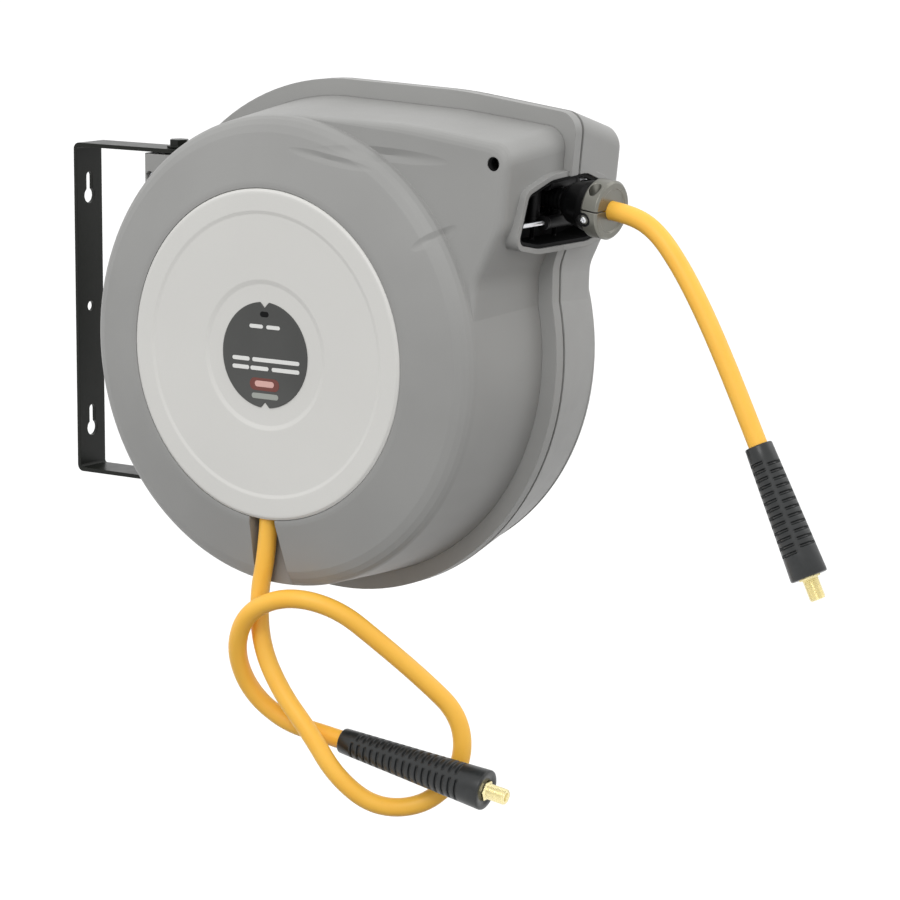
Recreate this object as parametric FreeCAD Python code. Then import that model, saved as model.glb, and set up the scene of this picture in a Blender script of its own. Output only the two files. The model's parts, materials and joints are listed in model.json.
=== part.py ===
"""Wall-mounted air hose reel with a spring-driven drum in a two-part moulded case.

Frame: origin at the centre hole of the wall bracket, in the plane of the wall.
+Z is up, the reel stands out along -Y, and the drum axis lies along X.
Case and drum parts are drawn in the drum frame, whose origin is the middle of the
drum axis, and save() moves them to their place.
"""
import FreeCAD, Part
import math
import os
from FreeCAD import Vector

os.makedirs("parts", exist_ok=True)

# ---------------------------------------------------------------- driving dimensions, mm
AXIS_Y, AXIS_Z = -289.5, -7.0         # drum axis, from the wall and the centre hole
PIVOT_Y = -108.5                      # swivel axis, from the wall

STRAP_W, STRAP_T = 34.0, 3.5          # bracket strap
BRACKET_H = 298.6                     # over the two arms
STRAP_BEND = 6.0                      # outer radius of the strap's bends
KEY_SPACING, KEY_MID = 212.0, -5.5    # keyholes, round end to round end, and their middle
KEY_R, KEY_SLOT_R, KEY_RUN = 7.0, 4.0, 17.5
CENTRE_HOLE_R = 4.5
BUSH_R, BUSH_FLANGE_R = 8.0, 13.0     # pivot bushes
SHOULDER_R, INSERT_R, INSERT_BORE = 6.0, 6.5, 4.05    # pivot bolts and the inserts they screw into
INSERT_L = 24.0

WALL = 3.0                            # moulded wall of the case
SLOT_FLOOR = 88.0                     # floor of the hose slot, from the seam
COVER_R = 140.4                       # side covers
WELL_R = 138.0                        # wells under the covers
COVER_FACE = 109.5                    # mouth of a well, from the seam
WELL_FLOOR = 84.0                     # outer face of a well's floor, from the seam
RIM_X = 84.0                          # where the dome meets the outer wall
SPLIT_GAP = 0.2                       # between the two halves where they nest
TONGUE = 6.0                          # how far the near half reaches into the far half
EARS = {1: dict(face=151.0, inner=118.0, screw=131.0),     # lugs above and below, drum frame
        -1: dict(face=-137.0, inner=-104.0, screw=-118.0)}
EAR_BACK, EAR_HALF_W, EAR_SCREW_Y = 210.0, 17.0, 201.0

NEAR_RIM = dict(ring=200.5, lift=0.0,
                nose=[(-125, 198.5, 400), (-231, 186, 16), (-223, 119, 30), (-198, 72, 30)])
SEAM = dict(ring=207.0, lift=4.0,
            nose=[(-130, 205.5, 400), (-230, 195, 18), (-222, 117, 30), (-203, 74, 30)])
FLANGE = dict(ring=221.5, lift=4.0,
              nose=[(-125, 221, 400), (-240, 207, 16), (-231, 118, 30), (-217, 80, 30)])
FAR_RIM = dict(ring=203.0, lift=1.0,
               nose=[(-125, 201, 400), (-232, 188, 16), (-224, 119, 30), (-201, 73, 30)])
FLANGE_W, GROOVE_W, GROOVE_D = 10.0, 3.0, 2.0
NOSE_ROUND = [(0.0, 7.0), (0.7, 4.2), (2.0, 2.2), (4.1, 0.7), (7.0, 0.0)]   # edges of its sides

# Screws that hold the halves together: (y, z) in the drum frame, and sizes.
SCREW_SPOTS = [(-190, 88), (-65, -185), (65, -185), (169, -99), (169, 99), (70, 184)]
NOSE_SCREW = (-215, 171.5)
BOSS_R, PILOT_R, SHANK_R, HEAD_R, HEAD_T = 5.5, 2.1, 2.0, 4.2, 3.0
SCREW_HEAD_X, SCREW_END_X, NOSE_HEAD_X = 70.0, -24.0, 66.0

AXLE_R = 10.0
AXLE_NEAR, AXLE_FAR, AIR_R = -88.0, 93.0, 5.0
SWIVEL = (-56.0, -26.0)               # swivel block on the axle
SEAL_X = [SWIVEL[0] + 5, SWIVEL[1] - 5]
PIPE_R, BUSH_OUT = 6.0, 14.0
RUN_GAP = 0.05                        # radial clearance of a running fit
DRUM_NEAR, DRUM_FAR = -64.0, 48.0     # outer faces of the drum's two flanges
FLANGE_T, DRUM_R = 3.0, 188.0
BARREL_R, BARREL_T = 110.0, 4.0
HOSE_R = 8.0
COIL_LAYERS, COIL_TURNS, LAYER_STEP = 3, 6, 14.0
TIE_R, TIE_COUNT, SHANK_TIE_R = 97.0, 6, 3.0

SPRING_CASE_R, SPRING_CASE_T, SPRING_CASE_W = 88.0, 2.5, 28.0
SPRING_IN, SPRING_OUT, STRIP_T, STRIP_TURNS = 18.0, 82.0, 1.2, 11

RATCHET_TIP, RATCHET_ROOT, RATCHET_BORE, RATCHET_TEETH = 60.0, 54.0, 42.0, 16
RATCHET_X = (DRUM_NEAR - 6.0, DRUM_NEAR)
PAWL_Y, PAWL_Z, PAWL_TIP_Y, PAWL_PIN_R = 38.0, 66.0, -3.0, 3.0
PAWL_X = (-70.4, -65.2)
SPRING_TOP = 84.0                     # ledge that the pawl's spring stands against

GUIDE_Y, GUIDE_Z, GUIDE_TILT = -228.0, 134.5, 5.0    # hose window, drum frame
ROLLER_GAP, ROLLER_R, PIN_R = 21.0, 6.0, 2.0
ROLLER_OFF = ROLLER_GAP / 2 + ROLLER_R
LEVEL_Y, UPRIGHT_Y = 6.0, 18.6        # depth of the level and of the upright rollers
ROLLERS = {"lower": (0, -1), "upper": (0, 1), "near": (-1, 0), "far": (1, 0)}
ROLLER_ENDS = {"lower": (-21, 21), "upper": (-21, 21), "near": (-18, 16), "far": (-18, 16)}
PIN_ENDS = {"lower": (-61.5, 61.5), "upper": (-31.5, 39.5),
            "near": (-33.5, 19.5), "far": (-33.5, 19.5)}
WINDOW = [(-66, -29.5, 7), (-36, -35.5, 40), (36, -35.5, 40), (66, -29.5, 7),
          (57, 12.5, 8), (24, 23.5, 40), (-24, 20.5, 40), (-56, 10.5, 8)]
LIP, LIP_PROUD, LIP_DEEP = 4.5, 2.5, 28.5

# Routes of the two free hoses, drum frame. Points of the corners, chosen by hand.
OUTLET_ROUTE = [(0, -275.5, 130.5), (0, -296.3, 127.94), (0, -319, 116), (0, -340, 91.5),
                (0, -360, 61), (0, -379.5, 26), (0, -400.5, -15.5), (0, -420.9, -57.3)]
INLET_ROUTE = [(-98, 6, -148), (-98, 8, -172), (-98, 17, -210), (-99, 14, -254),
               (-99, -8, -292), (-97, -37, -323), (-92.7, -61.9, -359.6), (-72.6, -90, -387),
               (-45, -124.3, -383.8), (-26.5, -147, -350.8), (-27.9, -145.8, -306.6),
               (-50.5, -119.8, -271.9), (-73, -93, -241), (-95.4, -65.5, -211.3),
               (-115.6, -27.9, -201.4), (-121.2, 11.8, -218.9), (-112.6, 32.5, -256.5),
               (-94.2, 30.2, -296.8), (-79.2, 2.6, -323.7), (-71.9, -32.5, -329.5),
               (-69, -62.1, -334.8)]
RADIUS_SHARE = 0.45

# Hose inside the case: from the elbow to the slot, and from the coil to the window.
ELBOW_X, ELBOW_R, CRIMP_R = -97.0, 8.4, 9.6
INNER_INLET = [(ELBOW_X, 0, -34), (ELBOW_X - 0.5, 0.5, -72), (-98, 3.0, -112), INLET_ROUTE[0]]
INNER_OUTLET = [(0, -90, 142.5), (0, -155, 140.6), (0, -225.5, 136.65), OUTLET_ROUTE[0]]

STOP_R, STOP_L, STOP_SPLIT, BUMPER_L = 24.5, 17.0, 1.2, 26.0
STOP_BORE = HOSE_R + 0.1
OUTLET_SLEEVE = dict(start=(0, -417, -49.3), length=113.0, r0=11.5, r1=15.5, socket=8.9, ribs=13)
INLET_SLEEVE = dict(start=(-70, -52, -333), length=143.0, r0=11.0, r1=17.5, socket=10.35, ribs=17)
FERRULE_R, THREAD_R, THREAD_L, FITTING_BORE = 9.0, 6.85, 18.0, 3.6
FERRULE_L = 12.0


# ---------------------------------------------------------------- helpers
def save(name, *solids, wall_frame=False):
    """Write one node; parts drawn in the drum frame are moved to their place."""
    shape = solids[0] if len(solids) == 1 else Part.makeCompound(list(solids))
    if not wall_frame:
        shape = shape.translated(Vector(0, AXIS_Y, AXIS_Z))
    shape.exportStep("parts/" + name + ".step")
    print(name, len(shape.Solids), "solid(s)", round(shape.Volume / 1000, 1), "cm3", shape.isValid())


def cyl_x(r, x0, x1, y=0.0, z=0.0):
    return Part.makeCylinder(r, x1 - x0, Vector(x0, y, z), Vector(1, 0, 0))


def ring_x(r_out, r_in, x0, x1, y=0.0, z=0.0):
    return cyl_x(r_out, x0, x1, y, z).cut(cyl_x(r_in, x0 - 1, x1 + 1, y, z))


def cyl_z(r, z0, z1, x=0.0, y=0.0):
    return Part.makeCylinder(r, z1 - z0, Vector(x, y, z0), Vector(0, 0, 1))


def box(x0, x1, y0, y1, z0, z1):
    return Part.makeBox(x1 - x0, y1 - y0, z1 - z0, Vector(x0, y0, z0))


def polygon(points):
    return Part.Face(Part.makePolygon([Vector(*p) for p in points + points[:1]]))


def turned(profile, origin=(0, 0, 0), axis=(1, 0, 0)):
    """Solid of revolution of an (along, radius) profile about an axis through origin."""
    face = polygon([(a, r, 0) for a, r in profile])
    solid = face.revolve(Vector(0, 0, 0), Vector(1, 0, 0), 360)
    turn = FreeCAD.Rotation(Vector(1, 0, 0), Vector(*axis))
    solid.Placement = FreeCAD.Placement(Vector(*origin), turn)
    return solid


def hexagon_x(across, x0, x1, y=0.0, z=0.0):
    r = across / math.sqrt(3)
    ring = [(x0, y + r * math.cos(math.radians(60 * i)), z + r * math.sin(math.radians(60 * i)))
            for i in range(6)]
    return polygon(ring).extrude(Vector(x1 - x0, 0, 0))


def corner(before, at, after, radius):
    """Start, middle and end of the arc that rounds one corner of a path."""
    a, b = (before - at).normalize(), (after - at).normalize()
    half = a.getAngle(b) / 2
    reach = radius / math.tan(half)
    centre = at + (a + b).normalize() * (radius / math.sin(half))
    middle = centre + (at - centre).normalize() * radius
    return at + a * reach, middle, at + b * reach


def rounded_edges(start, corners, end):
    """Lines and tangent arcs from start to end; corners are (point, radius)."""
    stops = [start] + [p for p, r in corners] + [end]
    edges, last = [], start
    for i, (point, radius) in enumerate(corners):
        first, middle, final = corner(stops[i], point, stops[i + 2], radius)
        edges.append(Part.LineSegment(last, first).toShape())
        edges.append(Part.Arc(first, middle, final).toShape())
        last = final
    edges.append(Part.LineSegment(last, end).toShape())
    return edges


def rounded_polygon(corners):
    """Closed wire in the XZ plane from (x, z, radius) corners."""
    points = [(Vector(x, 0, z), r) for x, z, r in corners]
    start = (points[-1][0] + points[0][0]) * 0.5
    return Part.Wire(rounded_edges(start, points, start))


# ---------------------------------------------------------------- case outline
def section(x, form, inset=0.0, nose_in=0.0):
    """Outline of the case at one x: the ring round the drum, and the nose above the hose window."""
    ring, lift, by = form["ring"] - inset, form["lift"], inset + nose_in
    shift = [(0, -by), (by, -by), (by, 0), (by, 0)]
    nose = [(Vector(x, y + dy, z + dz), r) for (y, z, r), (dy, dz) in zip(form["nose"], shift)]

    def on_ring(degrees):
        a = math.radians(degrees)
        return Vector(x, ring * math.cos(a), lift + ring * math.sin(a))

    edges = rounded_edges(on_ring(90), nose, on_ring(168))
    edges.append(Part.Arc(on_ring(168), on_ring(309), on_ring(450)).toShape())
    return Part.Wire(edges)


def loft(x0, form0, x1, form1, inset=0.0):
    return Part.makeLoft([section(x0, form0, inset), section(x1, form1, inset)], True, True)


def blend(form0, form1, share):
    """Outline part of the way from one form to the other."""
    def mix(a, b):
        return a + (b - a) * share
    nose = [tuple(mix(a, b) for a, b in zip(p, q)) for p, q in zip(form0["nose"], form1["nose"])]
    return dict(ring=mix(form0["ring"], form1["ring"]), lift=mix(form0["lift"], form1["lift"]), nose=nose)


def side_wall(x_rim, rim, x_seam, seam, inset=0.0):
    """Wall from the rim to the seam; the nose's side edges are rounded in short steps."""
    way = 1 if x_seam > x_rim else -1
    sections = []
    for step, nose_in in NOSE_ROUND:
        share = step / abs(x_seam - x_rim)
        form = blend(rim, seam, share)
        sections.append(section(x_rim + way * step, form, inset, nose_in))
    sections.append(section(x_seam, seam, inset))
    return Part.makeLoft(sections if way > 0 else sections[::-1], True, True)


def dome(side, rim_ring, inset=0.0):
    """The turned end of the case, from the outer wall in to the side cover."""
    mouth = COVER_FACE - inset
    rim = RIM_X - (0.0 if inset == 0 else inset)
    ring = rim_ring - inset
    profile = [(rim, 0), (rim, ring), (rim + 3.5, ring - 0.9), (rim + 7, ring - 3.4),
               (rim + 10.5, ring - 7.6), (rim + 13.8, ring - 14), (rim + 17, ring - 25),
               (mouth - 0.4, 146 - inset), (mouth, 143.5 - inset), (mouth, 0)]
    return turned([(side * a, r) for a, r in profile])


def near_outer():
    body = side_wall(-RIM_X, NEAR_RIM, 0, SEAM)
    return body.fuse(dome(-1, NEAR_RIM["ring"]))


def near_inner():
    body = side_wall(-RIM_X + WALL, NEAR_RIM, 0, SEAM, WALL)
    return body.fuse(dome(-1, NEAR_RIM["ring"], WALL))


def far_outer():
    rib = loft(0, FLANGE, FLANGE_W, FLANGE)
    groove = loft(FLANGE_W, FLANGE, FLANGE_W + GROOVE_W, FLANGE, GROOVE_D)
    wall = side_wall(RIM_X, FAR_RIM, FLANGE_W + GROOVE_W, FLANGE)
    return rib.fuse([groove, wall, dome(1, FAR_RIM["ring"])])


def far_inner():
    inset = WALL + GROOVE_D
    rib = loft(WALL + 0.5, FLANGE, FLANGE_W + GROOVE_W, FLANGE, inset)
    wall = side_wall(RIM_X - WALL, FAR_RIM, FLANGE_W + GROOVE_W, FLANGE, inset)
    return rib.fuse([wall, dome(1, FAR_RIM["ring"], WALL)])


# ---------------------------------------------------------------- details of the case
def slot_prism(x0, x1, grow=0.0):
    """The hose slot at the bottom of the near side; it widens downwards."""
    top, bottom = 12.0 + grow, 20.5 + grow
    face = polygon([(x0, top + 4, -WELL_R + 12), (x0, -top + 4, -WELL_R + 12),
                    (x0, -bottom + 4, -215), (x0, bottom + 4, -215)])
    return face.extrude(Vector(x1 - x0, 0, 0))


def in_guide(shape):
    """Place a shape drawn round the hose window's centre, which leans down a little."""
    shape.rotate(Vector(0, 0, 0), Vector(1, 0, 0), GUIDE_TILT)
    shape.translate(Vector(0, GUIDE_Y, GUIDE_Z))
    return shape


def window_prism(grow, y0, y1):
    wire = rounded_polygon(WINDOW)
    if grow:
        wire = wire.makeOffset2D(grow)
    prism = Part.Face(wire).extrude(Vector(0, y1 - y0, 0))
    prism.translate(Vector(0, y0, 0))
    return in_guide(prism)


def ear(side):
    """Lug at the back of the case that carries a pivot bolt; side is +1 above, -1 below."""
    spec = EARS[side]
    z0, z1 = sorted((spec["inner"], spec["face"]))
    lug = box(-EAR_HALF_W, EAR_HALF_W, 140, EAR_BACK, z0, z1)
    back = [e for e in lug.Edges if e.BoundBox.ZLength > 10 and e.BoundBox.YMin > EAR_BACK - 1]
    lug = lug.makeFillet(7.0, back)
    low, high = sorted((spec["face"], spec["face"] - side * INSERT_L))
    lug = lug.cut(cyl_z(INSERT_R, low - 0.01, high + 0.01, 0, PIVOT_Y - AXIS_Y))
    lug = lug.cut(cyl_x(PILOT_R, -EAR_HALF_W - 1, EAR_HALF_W + 1, EAR_SCREW_Y, spec["screw"]))
    return lug.cut(cyl_x(HEAD_R + 0.4, -EAR_HALF_W - 1, -11, EAR_SCREW_Y, spec["screw"]))


def ear_part(side, x0, x1, case_form):
    return ear(side).common(box(x0, x1, 130, 220, -160, 160)).cut(case_form)


def tongue():
    """Thin edge of the near half that nests inside the far half's step."""
    outer = loft(-1, SEAM, TONGUE, SEAM, SPLIT_GAP)
    return outer.cut(loft(-2, SEAM, TONGUE + 1, SEAM, WALL + 0.4))


def near_case_half():
    outer = near_outer()
    well_wall = cyl_x(WELL_R + WALL, -COVER_FACE, -WELL_FLOOR + WALL)
    channel = slot_prism(-COVER_FACE - 2, -SLOT_FLOOR + WALL, WALL)
    half = outer.cut(near_inner().cut(well_wall).cut(channel))
    space = outer.fuse(loft(0, SEAM, TONGUE, SEAM, WALL))
    edge = tongue().cut(window_prism(LIP + SPLIT_GAP, -40, 40))
    half = half.fuse([boss.common(space) for boss in near_bosses()] + [edge])
    half = half.fuse([ear_part(s, -EAR_HALF_W, -0.1, outer) for s in (1, -1)])
    half = half.fuse(window_prism(LIP, -LIP_PROUD, LIP_DEEP).common(box(-90, -0.1, -260, -180, 60, 190)))
    half = half.cut(window_prism(0, -40, 40))
    half = half.fuse([ring_x(24, AXLE_R, -WELL_FLOOR + 0.5, -WELL_FLOOR + 6),
                      cyl_x(6, -WELL_FLOOR + 1, -72.5, PAWL_Y, PAWL_Z),
                      box(-WELL_FLOOR + 1, -64.6, 0, 14, SPRING_TOP, SPRING_TOP + 4)])
    cuts = [cyl_x(WELL_R, -COVER_FACE - 3, -WELL_FLOOR),
            cyl_x(COVER_R + 0.4, -COVER_FACE - 3, -COVER_FACE + 2.5),
            slot_prism(-COVER_FACE - 2, -SLOT_FLOOR),
            cyl_x(AXLE_R + RUN_GAP, -100, -70),
            cyl_x(PAWL_PIN_R + RUN_GAP, -80, -60, PAWL_Y, PAWL_Z),
            cyl_x(PILOT_R, -90, 8, *NOSE_SCREW), cyl_x(5.8, -90, -NOSE_HEAD_X, *NOSE_SCREW)]
    cuts += [cyl_x(PILOT_R, SCREW_END_X - 4, 8, y, z) for y, z in SCREW_SPOTS]
    cuts += [upper_pocket()]
    for tool in cuts:
        half = half.cut(tool)
    return half


def near_bosses():
    solids = [cyl_x(BOSS_R, -RIM_X + 1, TONGUE, y, z) for y, z in SCREW_SPOTS]
    return solids + [cyl_x(8.5, -RIM_X + 1, TONGUE, *NOSE_SCREW)]


def arm_room():
    """Room for the bracket's arms, over the whole swing, and for the pivot inserts."""
    y, top, low = PIVOT_Y - AXIS_Y, EARS[1]["face"], EARS[-1]["face"]
    return [box(-30, 95, y - STRAP_W / 2 - 2, 240, top + 0.8, 240),
            box(-30, 95, y - STRAP_W / 2 - 2, 240, -240, low - 0.8),
            cyl_z(BUSH_FLANGE_R + 2, top, 240, 0, y), cyl_z(BUSH_FLANGE_R + 2, -240, low, 0, y),
            cyl_z(INSERT_R, top - INSERT_L - 0.01, 200, 0, y),
            cyl_z(INSERT_R, -200, low + INSERT_L + 0.01, 0, y)]


def far_case_half():
    outer = far_outer()
    well_wall = cyl_x(WELL_R + WALL, WELL_FLOOR - WALL, COVER_FACE)
    half = outer.cut(far_inner().cut(well_wall))
    half = half.cut(loft(-1, SEAM, WALL + 0.6, SEAM, 0.0))
    bosses = [cyl_x(BOSS_R, TONGUE + SPLIT_GAP, 95, y, z) for y, z in SCREW_SPOTS]
    bosses.append(cyl_x(BOSS_R, TONGUE + SPLIT_GAP, RIM_X - 1, *NOSE_SCREW))
    land = box(0.5, 78, 150, 178, -146, -126).common(outer).cut(
        [cyl_x(DRUM_R + 5, -1, 80), loft(-1, SEAM, TONGUE + SPLIT_GAP, SEAM)])
    half = half.fuse([boss.common(outer) for boss in bosses] + [land])
    half = half.fuse([ear_part(s, 0.1, EAR_HALF_W, outer) for s in (1, -1)])
    half = half.fuse(window_prism(LIP, -LIP_PROUD, LIP_DEEP).common(box(0.1, 90, -260, -180, 60, 190)))
    half = half.cut(window_prism(0, -40, 40))
    half = half.fuse(ring_x(24, AXLE_R, WELL_FLOOR - 3.9, WELL_FLOOR - 0.5))
    cuts = [cyl_x(WELL_R, WELL_FLOOR, COVER_FACE + 3),
            cyl_x(COVER_R + 0.4, COVER_FACE - 2.5, COVER_FACE + 3),
            cyl_x(AXLE_R + RUN_GAP, 70, 100), cyl_x(PILOT_R, -2, 44, *NOSE_SCREW)]
    cuts += [cyl_x(PILOT_R, -2, 110, y, z) for y, z in SCREW_SPOTS]
    cuts += [cyl_x(HEAD_R + 0.6, SCREW_HEAD_X - HEAD_T, 115, y, z) for y, z in SCREW_SPOTS]
    cuts += [upper_pocket()] + arm_room()
    for tool in cuts:
        half = half.cut(tool)
    return half


def side_cover(side):
    """Round cover with a stepped rim and a shallow dish in the middle."""
    profile = [(107.2, 0), (107.2, 138.6), (107.2, COVER_R), (109.2, COVER_R), (110.8, 138.2),
               (111.0, 136.5), (111.0, 122), (110.1, 119), (110.1, 64), (109.0, 60), (109.0, 0)]
    return turned([(side * a, r) for a, r in profile])


def cover_label():
    """Round plate on the near cover, with a small notch at its top and bottom."""
    plate = cyl_x(45.0, -109.8, -109.0)
    for side in (1, -1):
        notch = polygon([(-111, -4.5, side * 46), (-111, 4.5, side * 46), (-111, 0, side * 39.5)])
        plate = plate.cut(notch.extrude(Vector(4, 0, 0)))
    return plate


def case_screws():
    solids = [cyl_x(HEAD_R, SCREW_HEAD_X - HEAD_T, SCREW_HEAD_X, y, z).fuse(
              cyl_x(SHANK_R, SCREW_END_X, SCREW_HEAD_X - HEAD_T, y, z)) for y, z in SCREW_SPOTS]
    nose = cyl_x(HEAD_R, -NOSE_HEAD_X - HEAD_T, -NOSE_HEAD_X, *NOSE_SCREW).fuse(
        cyl_x(SHANK_R, -NOSE_HEAD_X, 34, *NOSE_SCREW))
    return solids + [nose]


# ---------------------------------------------------------------- bracket and swivel
def keyhole(z):
    """Round hole with a narrower slot running up from it."""
    y0 = -STRAP_T - 1
    hole = Part.makeCylinder(KEY_R, STRAP_T + 2, Vector(0, y0, z), Vector(0, 1, 0))
    end = Part.makeCylinder(KEY_SLOT_R, STRAP_T + 2, Vector(0, y0, z + KEY_RUN), Vector(0, 1, 0))
    return hole.fuse([end, box(-KEY_SLOT_R, KEY_SLOT_R, y0, 1, z, z + KEY_RUN)])


def wall_bracket():
    """Bent steel strap: a plate on the wall and an arm above and below the case."""
    half, reach = BRACKET_H / 2, PIVOT_Y - STRAP_W / 2
    solid = box(-STRAP_W / 2, STRAP_W / 2, reach, 0, -half, half)
    solid = solid.cut(box(-STRAP_W, STRAP_W, reach - 1, -STRAP_T, -half + STRAP_T, half - STRAP_T))
    inside = [e for e in solid.Edges if abs(e.BoundBox.YMin + STRAP_T) < 0.01
              and e.BoundBox.XLength > 10 and abs(abs(e.BoundBox.ZMin) - half + STRAP_T) < 0.01]
    solid = solid.makeFillet(STRAP_BEND - STRAP_T, inside)
    outside = [e for e in solid.Edges if abs(e.BoundBox.YMin) < 0.01
               and e.BoundBox.XLength > 10 and abs(abs(e.BoundBox.ZMin) - half) < 0.01]
    solid = solid.makeFillet(STRAP_BEND, outside)
    ends = [e for e in solid.Edges if e.BoundBox.ZLength > STRAP_T - 0.1
            and e.BoundBox.ZLength < STRAP_T + 0.1 and e.BoundBox.YMax < reach + 0.1]
    solid = solid.makeFillet(STRAP_W / 2 - 1, ends)
    solid = solid.cut([keyhole(KEY_MID + s * KEY_SPACING / 2) for s in (1, -1)])
    solid = solid.cut(Part.makeCylinder(CENTRE_HOLE_R, 8, Vector(0, -6, 0), Vector(0, 1, 0)))
    return solid.cut(cyl_z(BUSH_R, -200, 200, 0, PIVOT_Y))


def mirrored(shape, side):
    return shape if side > 0 else shape.mirror(Vector(0, 0, 0), Vector(0, 0, 1))


def pivot_bushes():
    """Flanged nylon bushes in the two arms; the flange keeps the case off the arm."""
    outer = BRACKET_H / 2
    low = EARS[1]["face"] + AXIS_Z + 0.1
    bush = cyl_z(BUSH_R, low, outer, 0, PIVOT_Y).fuse(
        cyl_z(BUSH_FLANGE_R, low, outer - STRAP_T, 0, PIVOT_Y))
    bush = bush.cut(cyl_z(SHOULDER_R + RUN_GAP, 100, 200, 0, PIVOT_Y))
    return [bush, mirrored(bush, -1)]


def pivot_bolts():
    """Shoulder bolts: threaded into the case, running in the bracket's bushes."""
    outer, face = BRACKET_H / 2, EARS[1]["face"] + AXIS_Z
    bolt = cyl_z(SHOULDER_R, face, outer + 0.5, 0, PIVOT_Y)
    head = cyl_z(11.0, outer + 0.5, outer + 2.0, 0, PIVOT_Y)
    cap = hexagon_x(15.0, 0, 5.5)
    cap.rotate(Vector(0, 0, 0), Vector(0, 1, 0), -90)
    cap.translate(Vector(0, PIVOT_Y, outer + 2.0))
    thread = cyl_z(INSERT_BORE - RUN_GAP, face - 21, face, 0, PIVOT_Y)
    bolt = bolt.fuse([head, cap, thread])
    return [bolt, mirrored(bolt, -1)]


def pivot_inserts():
    solids = []
    for side in (1, -1):
        face = EARS[side]["face"] + AXIS_Z
        z0, z1 = sorted((face, face - side * INSERT_L))
        insert = cyl_z(INSERT_R, z0, z1, 0, PIVOT_Y).cut(cyl_z(INSERT_BORE, z0 - 1, z1 + 1, 0, PIVOT_Y))
        solids.append(insert)
    return solids


def ear_screws():
    return [cyl_x(HEAD_R, -14, -11, EAR_SCREW_Y, EARS[s]["screw"]).fuse(
            cyl_x(SHANK_R, -11, 15, EAR_SCREW_Y, EARS[s]["screw"])) for s in (1, -1)]


# ---------------------------------------------------------------- axle, swivel joint and drum
def main_axle():
    """Fixed axle: hollow at the near end, with cross holes that feed the swivel joint."""
    axle = cyl_x(AXLE_R, AXLE_NEAR, AXLE_FAR).fuse(ring_x(16, AXLE_R - 1, -77.8, -74))
    return axle.cut([cyl_x(AIR_R, AXLE_NEAR - 1, -38), cyl_z(3.5, -12, 12, -41, 0)])


def axle_nuts():
    near = hexagon_x(30, AXLE_NEAR, -WELL_FLOOR).cut(cyl_x(AXLE_R, -100, -80))
    far = hexagon_x(30, WELL_FLOOR, AXLE_FAR - 1).cut(cyl_x(AXLE_R, 80, 100))
    return [near, far]


def swivel_block():
    """Brass ring that turns with the drum and takes the air from the axle."""
    x0, x1 = SWIVEL
    block = ring_x(19, AXLE_R + RUN_GAP, x0, x1)
    mid = (x0 + x1) / 2
    return block.cut([cyl_x(12.5, mid - 4, mid + 4), cyl_z(PIPE_R + RUN_GAP, 14, 25, mid, 0)]
                     + [cyl_x(13.0, x - 1.6, x + 1.6) for x in SEAL_X])


def swivel_seals():
    return [Part.makeTorus(AXLE_R + RUN_GAP + 1.4, 1.35, Vector(x, 0, 0), Vector(1, 0, 0)) for x in SEAL_X]


def drum_pipe():
    """Pipe from the swivel joint out through the barrel to the first turn of hose."""
    mid = sum(SWIVEL) / 2
    return cyl_z(PIPE_R, 14.2, BARREL_R - 0.5, mid, 0).cut(cyl_z(4, 14, BARREL_R, mid, 0))


def drum_flange(x0, hub_r):
    """Disc with a rolled rim and a hole for its bush."""
    x1 = x0 + FLANGE_T
    disc = ring_x(DRUM_R, hub_r, x0, x1)
    rim = ring_x(DRUM_R, DRUM_R - 4, x0 - 1.5, x1 + 1.5)
    ribs = [ring_x(r + 1.5, r - 1.5, x0 - 0.8, x1 + 0.8) for r in (128, 158)]
    disc = disc.fuse([rim] + ribs)
    return disc.cut([cyl_x(SHANK_TIE_R + 0.1, x0 - 3, x1 + 3, y, z) for y, z in tie_spots()])


def tie_spots():
    angles = [math.radians(360 * i / TIE_COUNT) for i in range(TIE_COUNT)]
    return [(TIE_R * math.cos(a), TIE_R * math.sin(a)) for a in angles]


def tie_bolts():
    solids = []
    for y, z in tie_spots():
        bolt = cyl_x(SHANK_TIE_R, DRUM_NEAR - 0.1, DRUM_FAR + 4, y, z)
        bolt = bolt.fuse(hexagon_x(10, DRUM_NEAR - 4.6, DRUM_NEAR - 0.1, y, z))
        solids.append(bolt)
        nut = hexagon_x(10, DRUM_FAR, DRUM_FAR + 4, y, z)
        solids.append(nut.cut(cyl_x(SHANK_TIE_R, DRUM_FAR - 1, DRUM_FAR + 5, y, z)))
    return solids


def drum_barrel():
    barrel = ring_x(BARREL_R, BARREL_R - BARREL_T, DRUM_NEAR + FLANGE_T, DRUM_FAR - FLANGE_T)
    return barrel.cut(cyl_z(PIPE_R + 1, 90, 120, sum(SWIVEL) / 2, 0))


def drum_bushes():
    return [ring_x(BUSH_OUT, AXLE_R + RUN_GAP, x0, x1) for x0, x1 in
            ((DRUM_NEAR - 3, DRUM_NEAR + FLANGE_T + 3), (DRUM_FAR - FLANGE_T - 3, DRUM_FAR + 0.5),
             (DRUM_FAR + SPRING_CASE_W - 1, DRUM_FAR + SPRING_CASE_W + 3.5))]


def wound_hose():
    """The coil on the drum as one solid, with its outer turns standing proud."""
    x0 = DRUM_NEAR + FLANGE_T + 2.0
    pitch = (DRUM_FAR - FLANGE_T - 2.0 - x0) / COIL_TURNS
    top = BARREL_R + HOSE_R + (COIL_LAYERS - 1) * LAYER_STEP
    profile = [(x0, BARREL_R + 0.2)]
    for turn in range(COIL_TURNS):
        centre = x0 + (turn + 0.5) * pitch
        for step in range(7):
            a = math.radians(160 - step * 140 / 6)
            profile.append((centre + HOSE_R * math.cos(a), top + HOSE_R * math.sin(a)))
    profile.append((x0 + COIL_TURNS * pitch, BARREL_R + 0.2))
    return turned(profile)


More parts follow.
